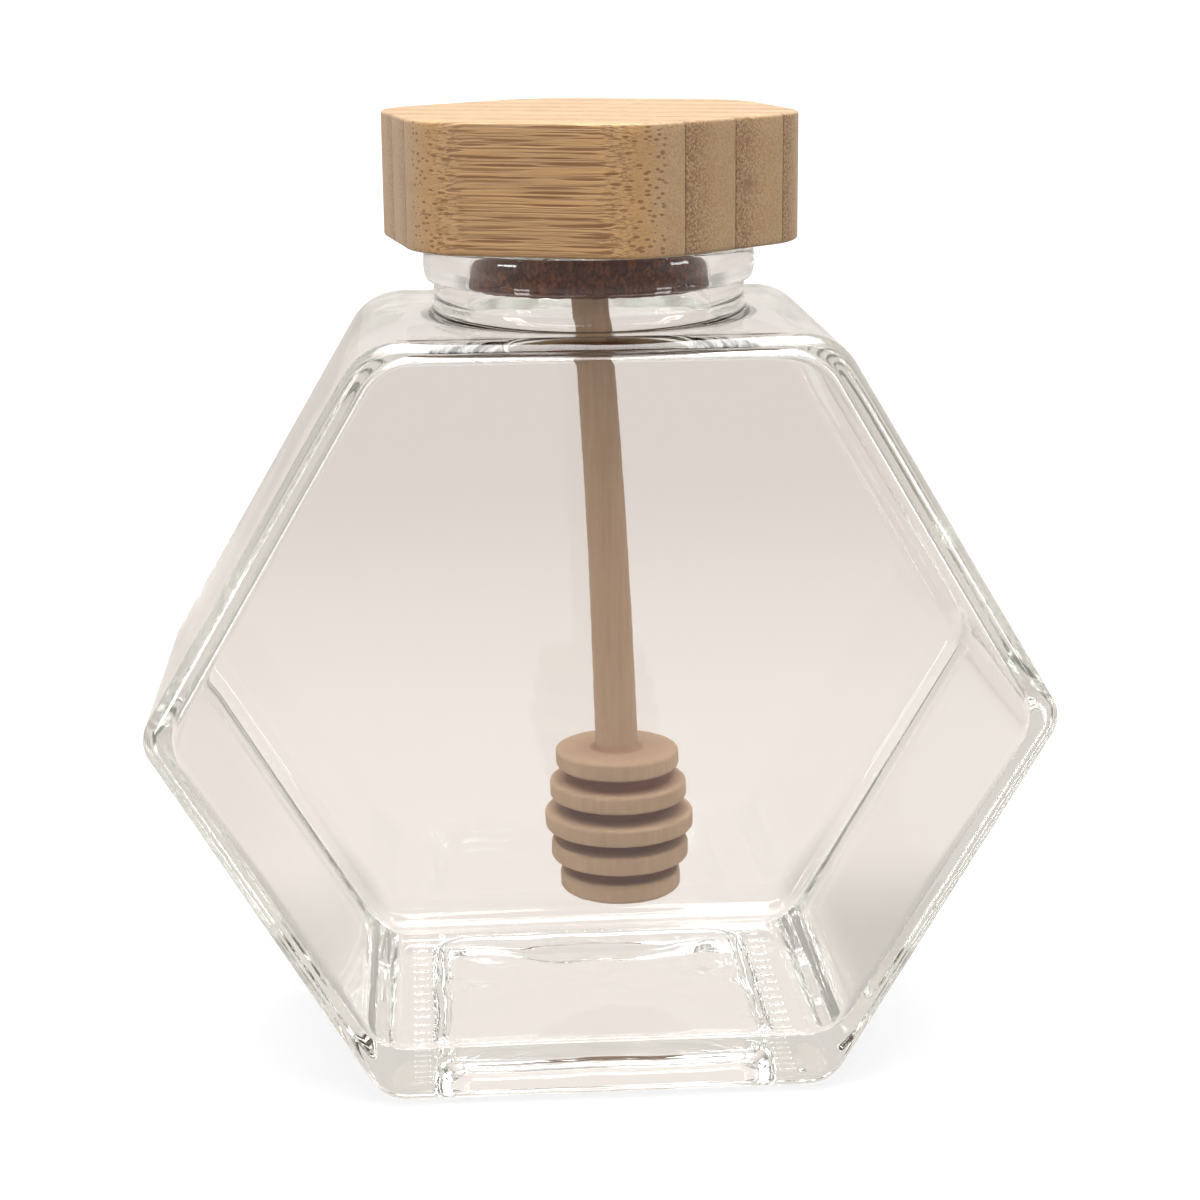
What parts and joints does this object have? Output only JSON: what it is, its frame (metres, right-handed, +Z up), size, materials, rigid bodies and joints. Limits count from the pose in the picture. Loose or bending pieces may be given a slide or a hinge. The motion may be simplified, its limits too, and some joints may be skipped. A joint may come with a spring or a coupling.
{
  "type": "glass honey pot",
  "caption": "Empty hexagonal clear glass honey jar standing on one flat, with a bamboo lid on a cork stopper and a turned wooden dipper hanging inside.",
  "frame": {"origin": "on the surface the jar stands on, under the centre of its base", "axes": "+Z up along the neck, +X along the hexagon's width, +Y from the front panel to the back panel"},
  "size_m": [0.1156, 0.054, 0.1252],
  "materials": {
    "clear_glass": "clear polished glass with a faint green tint in its thick parts",
    "bamboo": "laminated bamboo strips, fine sanded and unvarnished",
    "cork": "dark agglomerated cork granules",
    "pale_wood": "plain turned wood, matte"
  },
  "bodies": {
    "root": {"glass_jar": "clear_glass", "bamboo_lid": "bamboo", "cork_stopper": "cork", "honey_dipper": "pale_wood"}
  },
  "joints": []
}
